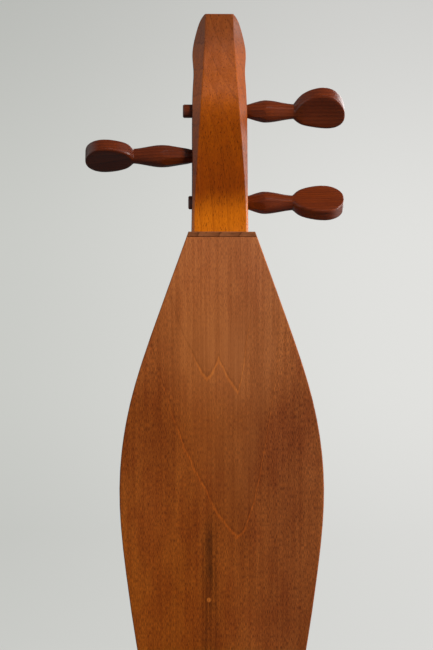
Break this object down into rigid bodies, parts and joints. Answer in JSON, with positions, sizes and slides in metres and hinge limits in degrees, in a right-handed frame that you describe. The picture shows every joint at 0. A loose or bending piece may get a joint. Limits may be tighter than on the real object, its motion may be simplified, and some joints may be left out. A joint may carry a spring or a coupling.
{
  "type": "chorded zither",
  "caption": "Hourglass-bodied fretted zither with a flat back, slotted peg head, friction pegs and strings over a raised fretboard.",
  "frame": {"origin": "centre of the tail end face, on the surface it stands on", "axes": "+Z along the instrument towards the peg head, -Y out of the flat back, +Y out of the fretboard, +X to the right seen from behind"},
  "size_m": [0.193, 0.0733, 0.905],
  "materials": {
    "back_wood": "satin",
    "top_wood": "satin",
    "rib_wood": "satin",
    "inner_wood": "matte",
    "walnut": "satin",
    "fretboard_wood": "satin",
    "fret_metal": "satin",
    "bone": "satin",
    "brass_pin": "polished",
    "plain_string": "polished",
    "wound_string": "satin",
    "head_wood": "satin",
    "peg_wood": "satin"
  },
  "bodies": {
    "body": {"back_plate": "back_wood", "soundboard": "top_wood", "rib_left": "rib_wood", "rib_right": "rib_wood", "tail_block": "inner_wood", "head_block": "inner_wood", "tail_end_plate": "walnut", "head_end_plate": "walnut", "lining_back_left": "inner_wood", "lining_back_right": "inner_wood", "lining_top_left": "inner_wood", "lining_top_right": "inner_wood", "back_brace_1": "inner_wood", "back_brace_2": "inner_wood", "back_brace_3": "inner_wood", "back_brace_4": "inner_wood", "top_brace_1": "inner_wood", "top_brace_2": "inner_wood", "top_brace_3": "inner_wood", "fretboard": "fretboard_wood", "fret_01": "fret_metal", "fret_02": "fret_metal", "fret_03": "fret_metal", "fret_04": "fret_metal", "fret_05": "fret_metal", "fret_06": "fret_metal", "fret_07": "fret_metal", "fret_08": "fret_metal", "fret_09": "fret_metal", "fret_10": "fret_metal", "fret_11": "fret_metal", "fret_12": "fret_metal", "fret_13": "fret_metal", "fret_14": "fret_metal", "fret_15": "fret_metal", "fret_16": "fret_metal", "nut": "bone", "bridge": "bone", "hitch_pins": "brass_pin", "string_treble": "plain_string", "string_bass": "wound_string", "string_middle": "plain_string", "pegbox": "head_wood"},
    "treble_tuner": {"peg_treble": "peg_wood", "winding_treble": "plain_string"},
    "bass_tuner": {"peg_bass": "peg_wood", "winding_bass": "wound_string"},
    "middle_tuner": {"peg_middle": "peg_wood", "winding_middle": "plain_string"}
  },
  "joints": [
    {"name": "treble_peg_turn", "type": "hinge", "parent": "body", "child": "treble_tuner", "pos_m": [0, 0.032, 0.764], "axis": [1, 0, 0], "continuous": true},
    {"name": "bass_peg_turn", "type": "hinge", "parent": "body", "child": "bass_tuner", "pos_m": [0, 0.032, 0.7985], "axis": [1, 0, 0], "continuous": true},
    {"name": "middle_peg_turn", "type": "hinge", "parent": "body", "child": "middle_tuner", "pos_m": [0, 0.032, 0.832], "axis": [1, 0, 0], "continuous": true}
  ]
}
